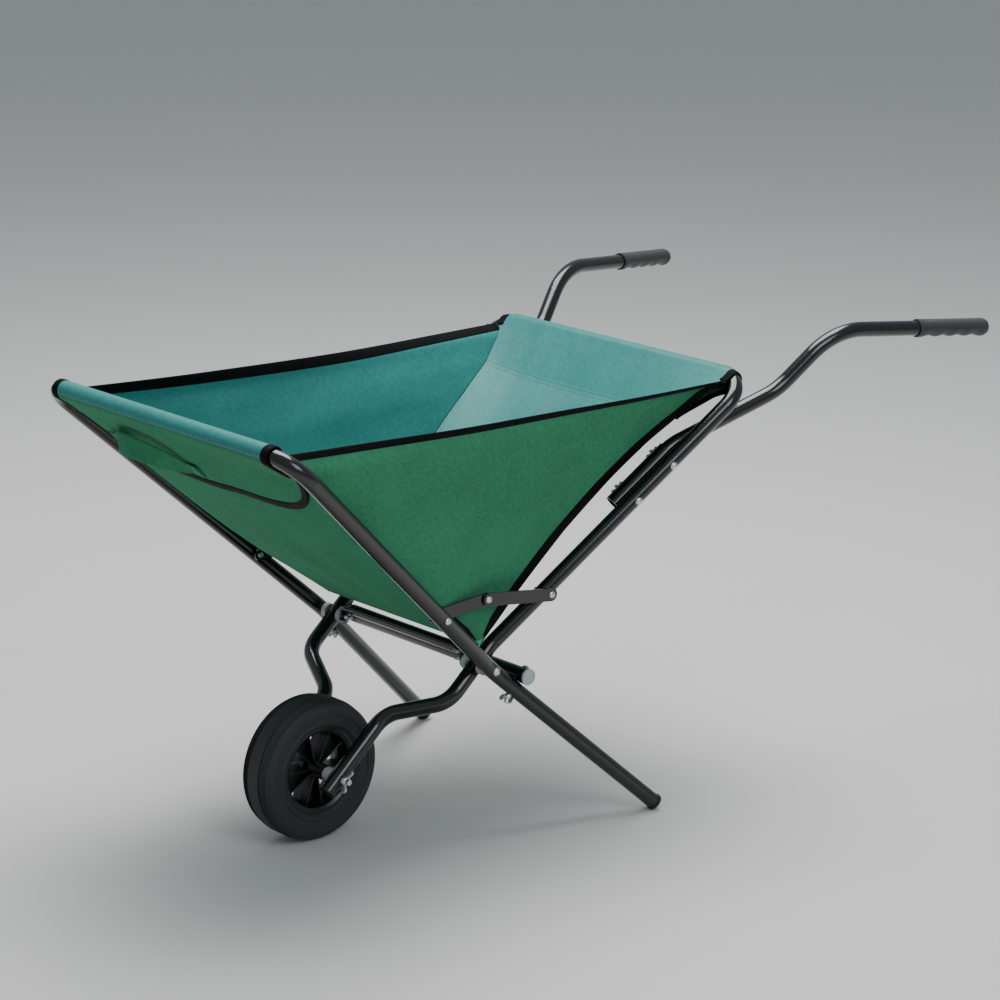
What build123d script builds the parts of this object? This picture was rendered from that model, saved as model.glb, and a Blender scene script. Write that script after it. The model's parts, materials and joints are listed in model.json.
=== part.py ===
"""Folding garden barrow: two crossed steel tube frames, a fabric bag between them and one wheel.

Millimetres. +Z is up, the wheel is at -X, the grips are at +X, and the barrow's left side is at -Y.
The origin is on the ground, in the middle of the barrow's length. Both frames are flat: each is a
tube bent in one plane that holds the pivot axis, so a frame is drawn in that plane, with x along
its arm from the pivot and y across the barrow.
"""

import os
from math import atan, cos, degrees, hypot, radians, sin

from build123d import *

# ---- driving dimensions ----------------------------------------------------------------------
WHEEL_R = 100.0  # tyre radius
TUBE_R = 11.0  # frame and handle tube radius
WALL = 1.5  # wall of every tube
REAR_ANGLE = 40.5  # slope of the wheel frame above the ground
LEG_ANGLE = 43.3  # slope of the leg frame above the ground
FORK_LEN = 225.5  # pivot to axle
REAR_LEN = 539.0  # pivot to rear bar
FRONT_LEN = 558.0  # pivot to front bar

FRONT_HALF = 262.0  # leg frame: half width at the corners of the front bar
LEG_PIVOT_HALF = 180.0  # leg frame: half width at the pivot
FOOT_HALF = 249.0  # leg frame: half width at the feet
REAR_HALF = 261.0  # wheel frame: half width at the corners of the rear bar
PIVOT_GAP = 9.0  # clear space between the two tubes at the pivot
REAR_STRAIGHT = 34.0  # wheel frame: parallel length above the pivot
FORK_STRAIGHT = 66.0  # wheel frame: parallel length below the pivot
FORK_HALF = 60.0  # half width of the fork at the axle
FORK_NECK = 50.0  # length along the fork over which it narrows
FORK_TAIL = 24.0  # fork tube beyond the axle
FRONT_BEND = 42.0  # bend radii
REAR_BEND = 40.0
KNEE_BEND = 100.0
FORK_BEND = 36.0
TAPER_BEND = 60.0

BOLT_R = 3.0  # frame bolts
HOLE_PLAY = 0.3  # bolt in a drilled tube
HEAD_R = 6.0
HEAD_H = 3.4
PLUG_DEPTH = 14.0  # spigots of the feet and fork plugs
AXLE_R = 4.0
RUN_FIT = 0.06  # axle in the hub bore
AIR = 0.3  # between pieces that move past each other
TOUCH = 0.1  # between pieces that are bolted together

CROSSBAR_DOWN = 47.5  # crossbar: distance below the pivot, along the leg
CROSSBAR_PAST = 11.0  # crossbar: length past the middle of each leg
CAP_T = 3.0
SPREAD_R = 8.0  # spreader tube
SPREAD_UP = 14.5  # spreader axis above the pivot axis
TAB_T = 3.0
DISC_R = 11.0  # plastic spacer discs at the pivots
WASHER_R = 6.0

LINK_W = 18.0  # folding stay: flat bar
LINK_T = 3.0
STAY_FRONT = 146.0  # pivot to the stay's hole in the leg frame
STAY_REAR = 134.5  # pivot to the stay's hole in the wheel frame
FRONT_LINK = 92.5  # hole to hole
REAR_LINK = 117.5
RIVET_R = 2.5
RIVET_HEAD_R = 5.0
RIVET_HEAD_H = 2.4

SOCKET_R = 12.7  # handle socket tube
SOCKET_WALL = 1.4
SOCKET_LEN = 105.0
SOCKET_TOP = 394.0  # pivot to the socket's upper end
HANDLE_IN = 92.0  # handle inside its socket
HANDLE_PAST = 10.0  # socket to the handle's first bend
HANDLE_BOLTS = (312.0, 380.0)  # pivot to each handle bolt
BEND_1 = (483.0, 244.0, 322.0)  # handle corners, from the pivot: back, out, up
BEND_2 = (564.0, 277.0, 402.0)
HANDLE_END = (834.0, 326.0, 374.0)
HANDLE_RADII = (70.0, 90.0, 105.0)
GRIP_LEN = 131.0
GRIP_R = 13.2
GRIP_END = 3.0

TYRE_W = 60.0
RIM_R = 62.0
RIM_W = 48.0
WEB_T = 6.0
WINDOWS = 5
HUB_BOSS_R = 13.0
HUB_BOSS_W = 76.0

CLOTH_T = 2.0
SLEEVE_AIR = 0.5
SLEEVE_T = 2.5
FRONT_SLEEVE = 214.0  # half length of the front sleeve
REAR_SLEEVE = 210.0
BAG_FOLD = (-3.0, 158.0, 31.0)  # the bag's bottom fold, from the pivot: back, half width, up
FRONT_EDGE = ((60.0, 234.0),)  # front panel: down from the bar, half width
REAR_EDGE = ((35.0, 214.0), (90.0, 200.0), (150.0, 188.0), (230.0, 177.0))
REAR_CREASE = 20.0  # the rear panel is lifted into the bag by this much at the last of those
FRONT_FREE = 285.0  # length above the bottom fold that bends when the barrow is folded
FOLD_LIP = 14.0
SIDE_DOWN = 42.0  # bars to the side panels' upper corners
LOOP_LOW = (134.0, 8.0)  # carry loop's ends: down from the bar, across
LOOP_HIGH = (72.0, 180.0)
LOOP_W = 26.0
LOOP_T = 3.0
LOOP_OUT = 28.0

# ---- places that follow from them ------------------------------------------------------------
SIDES = {"left": -1, "right": 1}
rear_dir = (cos(radians(REAR_ANGLE)), sin(radians(REAR_ANGLE)))
front_dir = (-cos(radians(LEG_ANGLE)), sin(radians(LEG_ANGLE)))
handle_tip = (HANDLE_END[0] - BEND_2[0], HANDLE_END[1] - BEND_2[1], HANDLE_END[2] - BEND_2[2])
tip_len = hypot(*handle_tip)
tip_dir = tuple(v / tip_len for v in handle_tip)
sleeve_out = TUBE_R + SLEEVE_AIR + SLEEVE_T
front_reach = FRONT_LEN * front_dir[0] - sleeve_out
rear_reach = HANDLE_END[0] + GRIP_END * tip_dir[0] + GRIP_R * hypot(tip_dir[1], tip_dir[2])
pivot_z = WHEEL_R + FORK_LEN * rear_dir[1]
pivot_x = -(front_reach + rear_reach) / 2
pivot = Vector(pivot_x, 0, pivot_z)

rear_plane = Plane(origin=pivot, x_dir=(rear_dir[0], 0, rear_dir[1]), z_dir=(-rear_dir[1], 0, rear_dir[0]))
leg_plane = Plane(origin=pivot, x_dir=(front_dir[0], 0, front_dir[1]), z_dir=(-front_dir[1], 0, front_dir[0]))

rear_pivot_half = LEG_PIVOT_HALF - 2 * TUBE_R - PIVOT_GAP
rear_slope = (REAR_HALF - rear_pivot_half) / (REAR_LEN - REAR_STRAIGHT)
knee_half = LEG_PIVOT_HALF
for _ in range(8):  # the corner of the knee lies a little inside its arc
    front_slope = (FRONT_HALF - knee_half) / FRONT_LEN
    foot_slope = (FOOT_HALF - knee_half) / (pivot_z / front_dir[1])
    knee_turn = atan(front_slope) + atan(foot_slope)
    knee_half = LEG_PIVOT_HALF - KNEE_BEND * (1 / cos(knee_turn / 2) - 1)

FOOT_T = 4.0
foot_r = TUBE_R + 1.0
leg_len = (pivot_z - foot_r * cos(radians(LEG_ANGLE))) / front_dir[1] - FOOT_T


def rear_half(along):
    """Half width of the wheel frame's side tubes, that far above the pivot."""
    return rear_pivot_half + rear_slope * max(0.0, along - REAR_STRAIGHT)


def front_half(along):
    """Half width of the leg frame's side tubes, above the pivot or, negative, below it."""
    return knee_half + (front_slope * along if along > 0 else -foot_slope * along)


def path_tube(points, radii, radius, wall, cuts=()):
    """A round tube bent along a route, with through holes: (point, direction, hole radius)."""
    with BuildPart() as tube:
        with BuildLine() as route:
            if len(points) > 2:
                FilletPolyline(*points, radius=list(radii))
            else:
                Line(*points)
        with BuildSketch(Plane(origin=route.line @ 0, z_dir=route.line % 0)):
            Circle(radius)
            Circle(radius - wall, mode=Mode.SUBTRACT)
        sweep(path=route.line)
        for place, direction, hole in cuts:
            with BuildSketch(Plane(origin=place, z_dir=direction)):
                Circle(hole)
            extrude(amount=2.2 * radius, both=True, mode=Mode.SUBTRACT)
    return tube


def save(part, name):
    part.part.label = name
    export_step(part.part, f"parts/{name}.step")


def on_rear(along, across, up=0.0):
    return rear_plane.from_local_coords(Vector(along, across, up))


def on_leg(along, across, up=0.0):
    return leg_plane.from_local_coords(Vector(along, across, -up))


os.makedirs("parts", exist_ok=True)

# ---- wheel frame: rear bar, two sides and the fork, one tube ----------------------------------
stay_rear_at = on_rear(STAY_REAR, 0)
stay_front_at = on_leg(STAY_FRONT, 0)
Y_AXIS = Vector(0, 1, 0)


def rear_side(side):
    """Corners of one side of the wheel frame, from the rear bar to the end of the fork."""
    return [
        on_rear(REAR_LEN, side * REAR_HALF),
        on_rear(REAR_STRAIGHT, side * rear_pivot_half),
        on_rear(-FORK_STRAIGHT, side * rear_pivot_half),
        on_rear(-FORK_STRAIGHT - FORK_NECK, side * FORK_HALF),
        on_rear(-FORK_LEN - FORK_TAIL, side * FORK_HALF),
    ]


side_radii = [REAR_BEND, TAPER_BEND, FORK_BEND, FORK_BEND]
socket_off = TUBE_R + SOCKET_R + TOUCH


def socket_line(side):
    """From the frame tube's axis to the socket's axis, square to both, in the frame's plane."""
    return (Y_AXIS * (-side) + rear_plane.x_dir * rear_slope).normalized()


rear_cuts = []
for side in SIDES.values():
    hole = BOLT_R + HOLE_PLAY
    rear_cuts.append((on_rear(0, side * rear_pivot_half), Y_AXIS, hole))
    rear_cuts.append((on_rear(STAY_REAR, side * rear_half(STAY_REAR)), Y_AXIS, RIVET_R + HOLE_PLAY))
    rear_cuts.append((on_rear(-FORK_LEN, side * FORK_HALF), Y_AXIS, AXLE_R + HOLE_PLAY))
    for along in HANDLE_BOLTS:
        rear_cuts.append((on_rear(along, side * rear_half(along)), socket_line(side), hole))
rear_route = list(reversed(rear_side(-1))) + rear_side(1)
wheel_frame = path_tube(rear_route, side_radii[::-1] + side_radii, TUBE_R, WALL, rear_cuts)
save(wheel_frame, "wheel_frame_tube")

# ---- leg frame: front bar, two sides and the legs, one tube -----------------------------------
leg_route = [
    on_leg(-leg_len, -(knee_half + foot_slope * leg_len)),
    on_leg(0, -knee_half),
    on_leg(FRONT_LEN, -FRONT_HALF),
    on_leg(FRONT_LEN, FRONT_HALF),
    on_leg(0, knee_half),
    on_leg(-leg_len, knee_half + foot_slope * leg_len),
]
leg_normal = -leg_plane.z_dir  # out of the leg frame's upper and rear side
leg_cuts = []
for side in SIDES.values():
    hole = BOLT_R + HOLE_PLAY
    leg_cuts.append((on_leg(0, side * LEG_PIVOT_HALF), Y_AXIS, hole))
    leg_cuts.append((on_leg(STAY_FRONT, side * front_half(STAY_FRONT)), Y_AXIS, RIVET_R + HOLE_PLAY))
    leg_cuts.append((on_leg(-CROSSBAR_DOWN, side * front_half(-CROSSBAR_DOWN)), leg_normal, hole))
leg_radii = [KNEE_BEND, FRONT_BEND, FRONT_BEND, KNEE_BEND]
leg_frame = path_tube(leg_route, leg_radii, TUBE_R, WALL, leg_cuts)
save(leg_frame, "leg_frame_tube")


def end_plug(route_end, outward, lip_r, lip_t, depth):
    """A moulded plug: a lip over the tube's end and a spigot inside it."""
    with BuildPart() as plug:
        with BuildSketch(Plane(origin=route_end, z_dir=outward)):
            Circle(lip_r)
        extrude(amount=lip_t)
        with BuildSketch(Plane(origin=route_end, z_dir=-outward)):
            Circle(TUBE_R - WALL - TOUCH)
            Circle(TUBE_R - WALL - TOUCH - 2.0, mode=Mode.SUBTRACT)
        extrude(amount=depth)
    return plug.part


def save_group(pieces, name):
    """Several separate solids in one file."""
    with BuildPart() as group:
        for piece in pieces:
            add(piece)
    save(group, name)


foot_caps = []
fork_plugs = []
for side in SIDES.values():
    end = on_leg(-leg_len, side * (knee_half + foot_slope * leg_len))
    down = (end - on_leg(0, side * knee_half)).normalized()
    foot_caps.append(end_plug(end, down, foot_r, FOOT_T, PLUG_DEPTH))
    tail = on_rear(-FORK_LEN - FORK_TAIL, side * FORK_HALF)
    fork_plugs.append(end_plug(tail, -rear_plane.x_dir, TUBE_R + 0.8, 2.0, PLUG_DEPTH))
save_group(foot_caps, "foot_caps")
save_group(fork_plugs, "fork_plugs")

# ---- crossbar between the legs ----------------------------------------------------------------
leg_at_bar = front_half(-CROSSBAR_DOWN)
crossbar_half = leg_at_bar + CROSSBAR_PAST
crossbar_up = TUBE_R + TUBE_R + TOUCH
crossbar_ends = [on_leg(-CROSSBAR_DOWN, s * crossbar_half, crossbar_up) for s in (-1, 1)]
bar_cuts = []
for side in SIDES.values():
    bar_cuts.append((on_leg(-CROSSBAR_DOWN, side * leg_at_bar, crossbar_up), leg_normal, BOLT_R + HOLE_PLAY))
crossbar = path_tube(crossbar_ends, (), TUBE_R, WALL, bar_cuts)
save(crossbar, "crossbar")

caps = []
for side in SIDES.values():
    end = on_leg(-CROSSBAR_DOWN, side * crossbar_half, crossbar_up)
    caps.append(end_plug(end, Y_AXIS * side, TUBE_R + 0.4, CAP_T, CROSSBAR_PAST / 2))
save_group(caps, "crossbar_caps")


def round_head(place, outward, head_r, head_h, shank_r, shank_len):
    """A round-headed bolt or rivet: place is under the head, and the shank runs inwards."""
    dome_r = (head_r**2 + head_h**2) / (2 * head_h)
    with BuildPart() as bolt:
        with BuildSketch(Plane.XZ):
            with BuildLine():
                Polyline((0, head_h), (0, -shank_len), (shank_r, -shank_len), (shank_r, 0), (head_r, 0))
                RadiusArc((head_r, 0), (0, head_h), -dome_r)
            make_face()
        revolve(axis=Axis.Z)
    return Plane(origin=place, z_dir=outward) * bolt.part


def rivet_tail(place, outward):
    """The formed inner end of a rivet."""
    with BuildPart() as tail:
        with BuildSketch(Plane(origin=place, z_dir=outward)):
            Circle(RIVET_HEAD_R * 0.85)
        extrude(amount=RIVET_HEAD_H * 0.7, taper=20)
    return tail.part


def wing_nut(place, outward, wing_dir, hole_r, size):
    """A pressed wing nut: place is its seat, outward points away from the seat."""
    with BuildPart() as nut:
        with BuildSketch():
            Circle(size * 0.95)
        extrude(amount=size * 1.2, taper=8)
        for turn in (-1, 1):
            root = Vector(turn * size * 0.6, 0, size * 0.25)
            with BuildSketch(Plane(origin=root, x_dir=(turn, 0, 0), z_dir=(0, -turn, 0))):
                with BuildLine():
                    edge = [(0, 0), (1.4, 0.95), (1.6, 1.75), (0.9, 1.75), (0, 0.85)]
                    Polyline(*[(size * x, size * y) for x, y in edge], close=True)
                make_face()
            extrude(amount=size * 0.16, both=True)
        with BuildSketch():
            Circle(hole_r + 0.1)
        extrude(amount=size * 1.2, mode=Mode.SUBTRACT)
    return Plane(origin=place, x_dir=wing_dir, z_dir=outward) * nut.part


crossbar_bolts = []
crossbar_nuts = []
for side in SIDES.values():
    head = on_leg(-CROSSBAR_DOWN, side * leg_at_bar, crossbar_up + TUBE_R + TOUCH)
    length = crossbar_up + 2 * TUBE_R + 12.0
    crossbar_bolts.append(round_head(head, leg_normal, HEAD_R, HEAD_H, BOLT_R, length))
    seat = on_leg(-CROSSBAR_DOWN, side * leg_at_bar, -TUBE_R - TOUCH)
    crossbar_nuts.append(wing_nut(seat, -leg_normal, Y_AXIS, BOLT_R, 6.0))
save_group(crossbar_bolts, "crossbar_bolts")
save_group(crossbar_nuts, "crossbar_wing_nuts")

# ---- pivots -----------------------------------------------------------------------------------
leg_inner = LEG_PIVOT_HALF - TUBE_R
rear_outer = rear_pivot_half + TUBE_R
rear_inner = rear_pivot_half - TUBE_R
inner_disc = PIVOT_GAP - AIR
tab_seat = rear_inner - TOUCH - inner_disc
nut_seat = tab_seat - TAB_T - 2 * TOUCH


def across(side, distance):
    return pivot + Y_AXIS * (side * distance)


def disc(place, direction, thickness, radius, hole):
    """A washer or spacer with its near face at place."""
    with BuildPart() as ring:
        with BuildSketch(Plane(origin=place, z_dir=direction)):
            Circle(radius)
            Circle(hole, mode=Mode.SUBTRACT)
        extrude(amount=thickness)
    return ring.part


pivot_bolts = []
outer_spacers = []
inner_spacers = []
pivot_nuts = []
for side in SIDES.values():
    head = LEG_PIVOT_HALF + TUBE_R + AIR + HEAD_R**2 / (2 * KNEE_BEND)
    out = Y_AXIS * side
    pivot_bolts.append(round_head(across(side, head), out, HEAD_R, HEAD_H, BOLT_R, head - nut_seat + 12.0))
    gap = PIVOT_GAP - AIR - TOUCH
    outer_spacers.append(disc(across(side, leg_inner - TOUCH), -out, gap, DISC_R, BOLT_R + HOLE_PLAY))
    inner_spacers.append(disc(across(side, rear_inner - TOUCH), -out, inner_disc, DISC_R, BOLT_R + HOLE_PLAY))
    pivot_nuts.append(wing_nut(across(side, nut_seat), -out, Vector(1, 0, 0), BOLT_R, 6.0))
save_group(pivot_bolts, "pivot_bolts")
save_group(outer_spacers, "pivot_spacers_outer")
save_group(inner_spacers, "pivot_spacers_inner")
save_group(pivot_nuts, "pivot_wing_nuts")

# The spreader's ends are pressed flat, turned down and drilled for the pivot bolts.
with BuildPart() as spreader:
    inner_face = tab_seat - TOUCH
    tube_half = inner_face - TAB_T - 16.0
    axis_at = pivot + Vector(0, 0, SPREAD_UP)
    with BuildSketch(Plane(origin=axis_at, z_dir=Y_AXIS)):
        Circle(SPREAD_R)
        Circle(SPREAD_R - WALL, mode=Mode.SUBTRACT)
    extrude(amount=tube_half, both=True)
    for side in SIDES.values():
        round_end = axis_at + Y_AXIS * (side * tube_half)
        with BuildSketch(Plane(origin=round_end, x_dir=(1, 0, 0), z_dir=(0, side, 0))):
            Circle(SPREAD_R)
        flat_end = axis_at + Y_AXIS * (side * (inner_face - TAB_T))
        with BuildSketch(Plane(origin=flat_end, x_dir=(1, 0, 0), z_dir=(0, side, 0))):
            Rectangle(2.4 * SPREAD_R, TAB_T)
        loft()
        with BuildSketch(Plane(origin=across(side, inner_face), z_dir=Y_AXIS * -side)):
            Circle(1.2 * SPREAD_R)
        extrude(amount=TAB_T)
        tab_middle = across(side, inner_face) + Vector(0, 0, (SPREAD_UP + TAB_T / 2) / 2)
        with BuildSketch(Plane(origin=tab_middle, x_dir=(1, 0, 0), z_dir=(0, -side, 0))):
            Rectangle(2.4 * SPREAD_R, SPREAD_UP + TAB_T / 2)
        extrude(amount=TAB_T)
        with BuildSketch(Plane(origin=across(side, inner_face + 1), z_dir=Y_AXIS * -side)):
            Circle(BOLT_R + HOLE_PLAY)
        extrude(amount=TAB_T + 2, mode=Mode.SUBTRACT)
save(spreader, "spreader_bar")

# ---- folding stays ----------------------------------------------------------------------------
# Flat bars inside the frames' sides; the rear link runs over the widening tube without touching it.
crest = rear_half(STAY_REAR + 1.15 * LINK_W) + TUBE_R / cos(atan(rear_slope))
rear_link_in = crest + AIR
front_link_in = rear_link_in - AIR - LINK_T
span = stay_rear_at - stay_front_at
reach = hypot(span.X, span.Z)
to_knee = (FRONT_LINK**2 - REAR_LINK**2 + reach**2) / (2 * reach)
rise = (FRONT_LINK**2 - to_knee**2) ** 0.5
along_span = Vector(span.X / reach, 0, span.Z / reach)
above_span = Vector(-along_span.Z, 0, along_span.X)
knee = stay_front_at + along_span * to_knee + above_span * rise


def link(start, end, side, inner, holes):
    """A flat bar with round ends between two hole centres, its inner face that far from the middle."""
    middle = (start + end) * 0.5 + Y_AXIS * (side * inner)
    with BuildPart() as bar:
        with BuildSketch(Plane(origin=middle, x_dir=end - start, z_dir=Y_AXIS * side)):
            SlotCenterToCenter((end - start).length, LINK_W)
        extrude(amount=LINK_T)
        for place in holes:
            with BuildSketch(Plane(origin=place + Y_AXIS * (side * inner), z_dir=Y_AXIS * side)):
                Circle(RIVET_R + RUN_FIT)
            extrude(amount=LINK_T, mode=Mode.SUBTRACT)
    return bar.part


front_rivets = []
rear_rivets = []
stay_washers = []
for name, side in SIDES.items():
    out = Y_AXIS * side
    # the knee rivet's head half stays with the rear link, its tail half with the front link
    front_bar = link(stay_front_at, knee, side, front_link_in, [stay_front_at])
    save_group([front_bar, rivet_tail(knee + out * front_link_in, -out)], f"stay_front_link_{name}")
    save_group([link(knee, stay_rear_at, side, rear_link_in, [knee, stay_rear_at])], f"stay_rear_link_{name}")
    head = knee + out * (rear_link_in + LINK_T + TOUCH)
    pin = round_head(head, out, RIVET_HEAD_R, RIVET_HEAD_H, RIVET_R, LINK_T + TOUCH)
    save_group([pin], f"stay_knee_rivet_{name}")

    outer = front_half(STAY_FRONT) + TUBE_R / cos(atan(front_slope)) + 1.0
    inner = front_link_in - AIR
    pin = round_head(stay_front_at + out * outer, out, RIVET_HEAD_R, RIVET_HEAD_H, RIVET_R, outer - inner)
    front_rivets += [pin, rivet_tail(stay_front_at + out * inner, -out)]
    start = front_link_in + LINK_T + AIR
    seat = front_half(STAY_FRONT) - TUBE_R / cos(atan(front_slope)) - 1.0
    washer_at = stay_front_at + out * start
    stay_washers.append(disc(washer_at, out, seat - start, WASHER_R, RIVET_R + HOLE_PLAY))
    outer = rear_link_in + LINK_T + AIR
    inner = rear_half(STAY_REAR) - TUBE_R / cos(atan(rear_slope)) - 1.4
    pin = round_head(stay_rear_at + out * outer, out, RIVET_HEAD_R, RIVET_HEAD_H, RIVET_R, outer - inner)
    rear_rivets += [pin, rivet_tail(stay_rear_at + out * inner, -out)]
save_group(front_rivets, "stay_front_rivets")
save_group(rear_rivets, "stay_rear_rivets")
save_group(stay_washers, "stay_washers")


# ---- handles: socket tubes on the frame, bent tubes in them, grips -----------------------------
def socket_axis(along, side):
    """A point on the socket's axis beside the frame tube, that far above the pivot."""
    return on_rear(along, side * rear_half(along)) + socket_line(side) * socket_off


for name, side in SIDES.items():
    beside = socket_line(side)
    cuts = [(socket_axis(along, side), beside, BOLT_R + HOLE_PLAY) for along in HANDLE_BOLTS]
    ends = [socket_axis(SOCKET_TOP - SOCKET_LEN, side), socket_axis(SOCKET_TOP, side)]
    socket = path_tube(ends, (), SOCKET_R, SOCKET_WALL, cuts)
    save(socket, f"handle_socket_{name}")

    corners = [pivot + Vector(b[0], side * b[1], b[2]) for b in (BEND_1, BEND_2, HANDLE_END)]
    route = [socket_axis(SOCKET_TOP - HANDLE_IN, side), socket_axis(SOCKET_TOP + HANDLE_PAST, side)] + corners
    handle = path_tube(route, HANDLE_RADII, TUBE_R, WALL, cuts)
    save(handle, f"handle_tube_{name}")

    end = corners[2]
    tip = (corners[2] - corners[1]).normalized()
    with BuildPart() as grip:
        with BuildSketch(Plane(origin=end - tip * (GRIP_LEN - GRIP_END), z_dir=tip)):
            Circle(GRIP_R)
        extrude(amount=GRIP_LEN)
        fillet(grip.edges().sort_by(Axis(end, tip))[-1], 5.0)
        with BuildSketch(Plane(origin=end - tip * GRIP_LEN, z_dir=tip)):
            Circle(TUBE_R + TOUCH)
        extrude(amount=GRIP_LEN + TOUCH, mode=Mode.SUBTRACT)
    save(grip, f"grip_{name}")

stack = 2 * (TUBE_R + SOCKET_R) + 2 * TOUCH
handle_bolts = []
handle_nuts = []
for side in SIDES.values():
    beside = socket_line(side)
    for along in HANDLE_BOLTS:
        middle = on_rear(along, side * rear_half(along))
        head = middle - beside * (TUBE_R + TOUCH)
        handle_bolts.append(round_head(head, -beside, HEAD_R, HEAD_H, BOLT_R, stack + 9.0))
        seat = middle + beside * (stack - TUBE_R)
        handle_nuts.append(wing_nut(seat, beside, rear_plane.x_dir, BOLT_R, 5.0))
save_group(handle_bolts, "handle_bolts")
save_group(handle_nuts, "handle_wing_nuts")

# ---- wheel ------------------------------------------------------------------------------------
axle_at = on_rear(-FORK_LEN, 0)
axle_axis = Axis(axle_at, (0, 1, 0))
section = Plane(origin=axle_at, x_dir=(0, 1, 0), z_dir=(1, 0, 0))
half = TYRE_W / 2
groove = 1.6


def mirrored(points):
    """A half section, from the crown inwards at one side, and its mirror image."""
    return points + [(-across_at, out) for across_at, out in reversed(points)]


tread = [(0, WHEEL_R), (half * 0.36, WHEEL_R - 0.2)]
for k in range(3):  # circumferential grooves near the shoulder
    at = half * (0.36 + 0.16 * k)
    level = WHEEL_R - 0.2 - 1.1 * k
    tread += [(at + 0.6, level - 2.2), (at + 0.6 + groove, level - 2.4), (at + 1.2 + groove, level - 0.5)]
side_wall = [
    (half * 0.86, WHEEL_R - 4.4),
    (half * 0.96, WHEEL_R - 8.0),
    (half, WHEEL_R - 13.0),
    (half * 0.99, WHEEL_R - 19.0),
    (half * 0.93, WHEEL_R - 20.5),
    (half * 0.90, RIM_R + 9.0),
    (half * 0.94, RIM_R + 7.0),
    (half * 0.93, RIM_R + 4.0),
    (half * 0.84, RIM_R + 1.6),
    (RIM_W / 2, RIM_R + TOUCH),
]
with BuildPart() as tyre:
    with BuildSketch(section):
        with BuildLine():
            Polyline(*mirrored((tread + side_wall)[1:]), close=True)
        make_face()
    revolve(axis=axle_axis)
save(tyre, "tyre")

with BuildPart() as hub:
    with BuildSketch(section):
        with BuildLine():
            rim = [
                (0, HUB_BOSS_R - 2),
                (HUB_BOSS_W / 2, HUB_BOSS_R - 2),
                (HUB_BOSS_W / 2, AXLE_R + RUN_FIT),
                (0, AXLE_R + RUN_FIT),
            ]
            Polyline(*rim, (-rim[2][0], rim[2][1]), (-rim[1][0], rim[1][1]), close=True)
        make_face()
    revolve(axis=axle_axis)
    with BuildSketch(section):
        with BuildLine():
            web = WEB_T / 2
            Polyline(
                (web, HUB_BOSS_R - 4),
                (web, RIM_R - 12),
                (RIM_W / 2 - 3, RIM_R - 8),
                (RIM_W / 2, RIM_R - 4),
                (RIM_W / 2, RIM_R),
                (-RIM_W / 2, RIM_R),
                (-RIM_W / 2, RIM_R - 4),
                (-RIM_W / 2 + 3, RIM_R - 8),
                (-web, RIM_R - 12),
                (-web, HUB_BOSS_R - 4),
                close=True,
            )
        make_face()
    revolve(axis=axle_axis)
    window_span = 360 / WINDOWS * 0.5
    for k in range(WINDOWS):
        turn = 360 / WINDOWS * k + 12
        ray = Vector(cos(radians(turn)), 0, sin(radians(turn)))
        with BuildSketch(Plane(origin=axle_at, x_dir=ray, z_dir=(0, -1, 0))):
            with BuildLine():
                inner, outer, edge = HUB_BOSS_R + 3, RIM_R - 14, radians(window_span / 2)
                CenterArc((0, 0), outer, -degrees(edge), 2 * degrees(edge))
                Line((outer * cos(edge), outer * sin(edge)), (inner * cos(edge), inner * sin(edge)))
                CenterArc((0, 0), inner, -degrees(edge), 2 * degrees(edge))
                Line((inner * cos(edge), -inner * sin(edge)), (outer * cos(edge), -outer * sin(edge)))
            make_face()
        extrude(amount=WEB_T, both=True, mode=Mode.SUBTRACT)
        for edge_turn in (turn - window_span / 2 - 2.2, turn + window_span / 2 + 2.2):
            spoke = Vector(cos(radians(edge_turn)), 0, sin(radians(edge_turn)))
            mid = (HUB_BOSS_R + RIM_R - 10) / 2
            spoke_plane = Plane(origin=axle_at + spoke * mid, x_dir=spoke, z_dir=(0, -1, 0))
            with BuildSketch(spoke_plane):
                Rectangle(RIM_R - 10 - HUB_BOSS_R + 5, 2.2)
            extrude(amount=RIM_W / 2 - 9, both=True)
save(hub, "wheel_hub")

fork_inner = FORK_HALF - TUBE_R
boss_end = HUB_BOSS_W / 2
axle_spacers = []
for side in SIDES.values():
    width = fork_inner - TOUCH - boss_end - AIR
    start = axle_at + Y_AXIS * (side * (boss_end + AIR))
    axle_spacers.append(disc(start, Y_AXIS * side, width, HUB_BOSS_R - 3, AXLE_R + TOUCH))
save_group(axle_spacers, "axle_spacers")

fork_outer = FORK_HALF + TUBE_R + TOUCH
axle_head = axle_at + Y_AXIS * fork_outer
save_group([round_head(axle_head, Y_AXIS, 8.0, 5.0, AXLE_R, 2 * fork_outer + 14.0)], "axle_bolt")
wing_dir = Vector(sin(radians(30)), 0, cos(radians(30)))
save_group([wing_nut(axle_at - Y_AXIS * fork_outer, -Y_AXIS, wing_dir, AXLE_R, 8.0)], "axle_wing_nut")

# ---- fabric bag -------------------------------------------------------------------------------
# Each panel hangs in the plane that runs from its bar to the bag's bottom fold, above the tubes.
front_bar = on_leg(FRONT_LEN, 0)
rear_bar = on_rear(REAR_LEN, 0)
bag_fold = pivot + Vector(BAG_FOLD[0], 0, BAG_FOLD[2])
fold_half = BAG_FOLD[1]


def plane_between(start, end):
    """A panel plane through two lines across the barrow: x from one to the other, y across, z out."""
    down = (end - start).normalized()
    normal = down.cross(Y_AXIS)
    return Plane(origin=start, x_dir=down, z_dir=-normal if normal.Z > 0 else normal)


def cloth(plane, half_edge):
    """A flat layer with the given half outline: (down from the bar, half width)."""
    with BuildPart() as layer:
        with BuildSketch(plane):
            with BuildLine():
                Polyline(*half_edge, *[(down, -half) for down, half in reversed(half_edge)], close=True)
            make_face()
        extrude(amount=CLOTH_T / 2, both=True)
    return layer.part


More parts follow.
